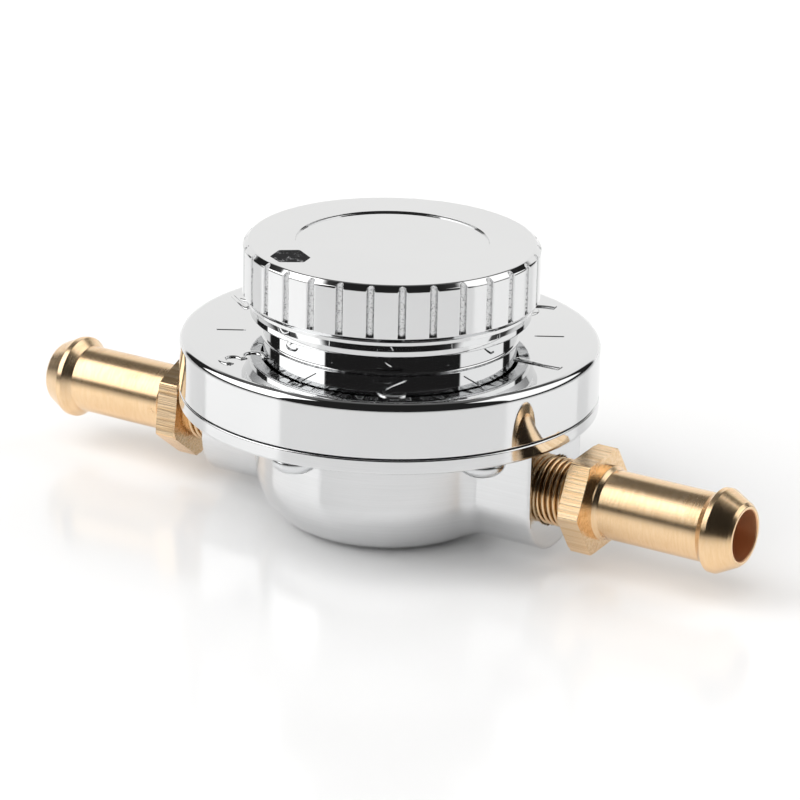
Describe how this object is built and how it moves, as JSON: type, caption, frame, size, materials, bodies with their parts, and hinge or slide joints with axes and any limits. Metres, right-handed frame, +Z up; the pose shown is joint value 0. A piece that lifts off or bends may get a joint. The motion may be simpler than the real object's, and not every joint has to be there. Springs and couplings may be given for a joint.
{
  "type": "fuel pressure regulator",
  "caption": "Round chromed fuel pressure regulator with a fluted setting dial on top and opposed brass hose barbs.",
  "frame": {"origin": "centre of the flat foot under the body, on the dial's axis", "axes": "+X along the barbs towards the outlet, +Z up through the dial"},
  "size_m": [0.1226, 0.0634, 0.0445],
  "materials": {
    "bright_chrome": "mirror-polished plating",
    "satin_chrome": "plating over a lightly polished casting",
    "brass": "bright, with lathe marks",
    "steel": "zinc plated",
    "rubber": "matt"
  },
  "bodies": {
    "housing": {"body": "satin_chrome", "cover": "bright_chrome", "cover_screws": "steel", "inlet_barb": "brass", "outlet_barb": "brass", "thrust_washer": "steel", "click_ball": "steel", "click_spring": "steel", "valve_seat": "brass", "diaphragm": "rubber", "main_spring": "steel", "valve_spring": "steel"},
    "dial": {"dial_knob": "bright_chrome", "adjusting_stem": "steel", "stem_clip": "steel"},
    "follower": {"spring_follower": "brass"},
    "diaphragm_set": {"upper_plate": "steel", "lower_plate": "steel", "diaphragm_rivet": "brass"},
    "poppet": {"valve_poppet": "brass", "poppet_seal": "rubber"}
  },
  "joints": [
    {"name": "dial_turn", "type": "hinge", "parent": "housing", "child": "dial", "pos_m": [0, 0, 0.035], "axis": [0, 0, 1], "range_deg": [-180, 120]},
    {"name": "follower_travel", "type": "slide", "parent": "housing", "child": "follower", "axis": [0, 0, 1], "range_m": [-0.0025, 0.00167], "deforming": ["main_spring"]},
    {"name": "diaphragm_lift", "type": "slide", "parent": "housing", "child": "diaphragm_set", "axis": [0, 0, 1], "range_m": [0, 0.0008], "deforming": ["diaphragm", "main_spring"]},
    {"name": "poppet_lift", "type": "slide", "parent": "housing", "child": "poppet", "axis": [0, 0, 1], "range_m": [0, 0.0008], "deforming": ["valve_spring"]}
  ],
  "couplings": [
    {"joint": "follower_travel", "follows": "dial_turn", "m_per_rad": 0.00079577},
    {"joint": "poppet_lift", "follows": "diaphragm_lift", "ratio": 1}
  ]
}
